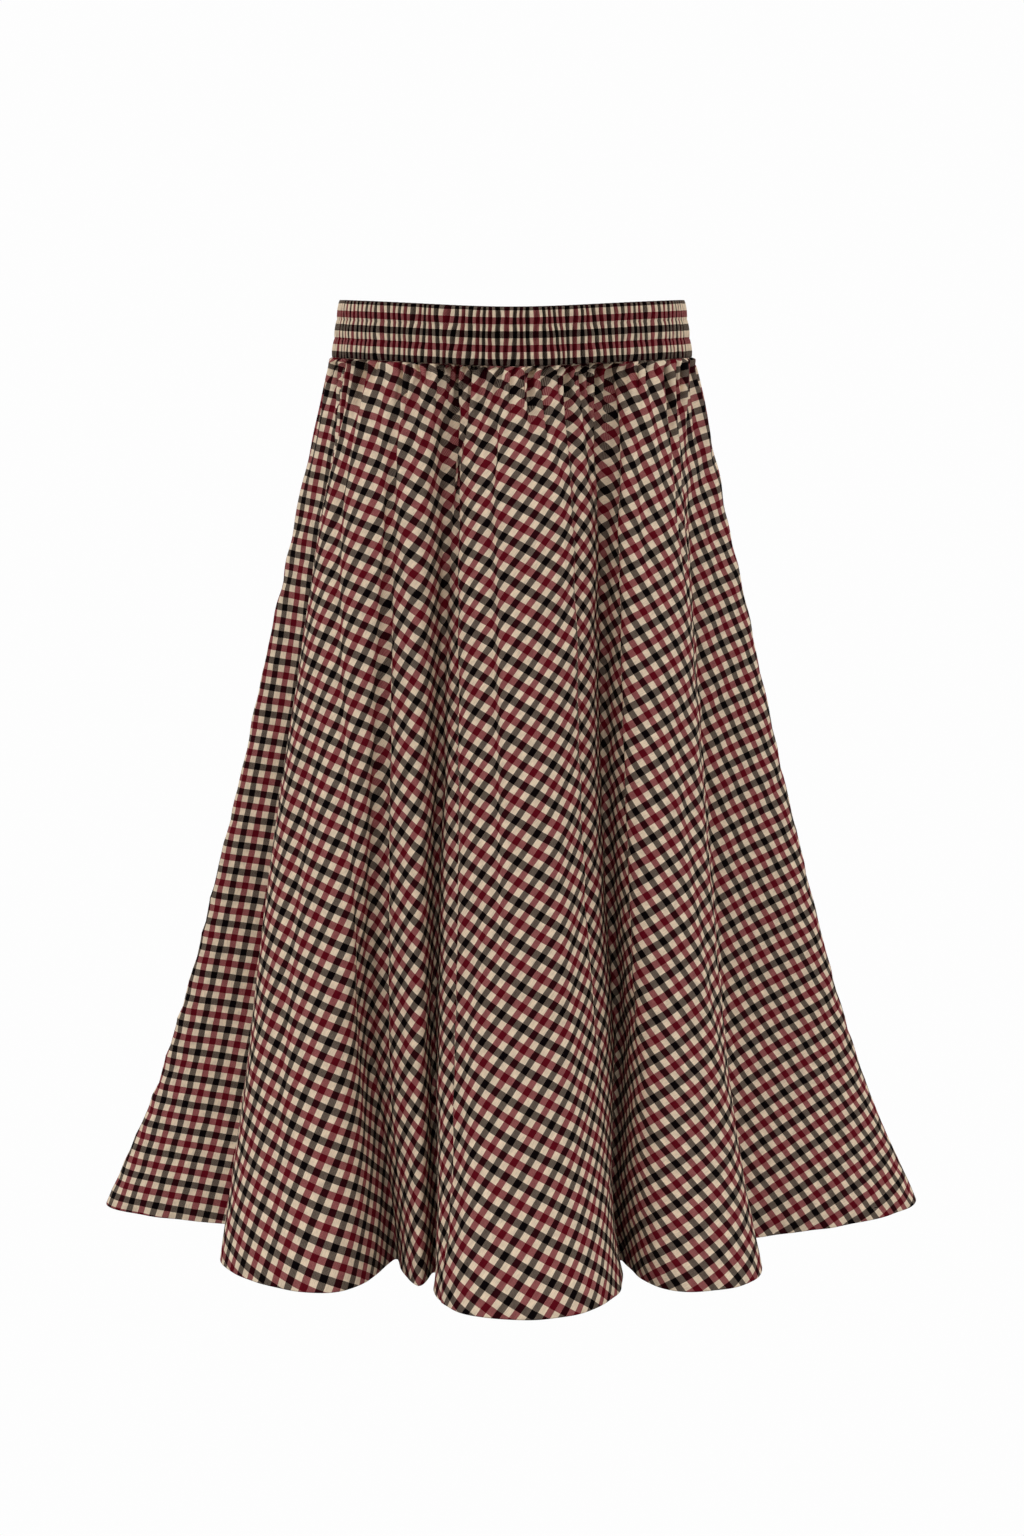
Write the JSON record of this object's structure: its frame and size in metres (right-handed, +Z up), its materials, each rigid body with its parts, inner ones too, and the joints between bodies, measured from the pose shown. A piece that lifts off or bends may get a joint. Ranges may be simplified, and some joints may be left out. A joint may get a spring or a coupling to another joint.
{
  "type": "midi skirt",
  "caption": "Flared midi skirt in checked cloth with soft flutes and a gathered elastic waistband, in the hollow shape it has when worn.",
  "frame": {"origin": "centre of the waist, half way up the waistband, where the wearer's waist holds the skirt", "axes": "+Z up the wearer's body out of the waist, -Y out of the front, +X to the right seen from the front"},
  "size_m": [0.6918, 0.5794, 0.76],
  "materials": {
    "gathered_check": "plain-woven check in cream, burgundy and black, gathered into fine upright ribs by elastic in three stitched channels",
    "front_check": "plain-woven check in cream, burgundy and black, 5.6 mm squares, set on the slant over the front",
    "back_check": "plain-woven check in cream, burgundy and black, 5.6 mm squares, nearly level at the left side seam"
  },
  "bodies": {
    "root": {"waistband": "gathered_check", "skirt_front": "front_check", "skirt_back": "back_check"}
  },
  "joints": []
}
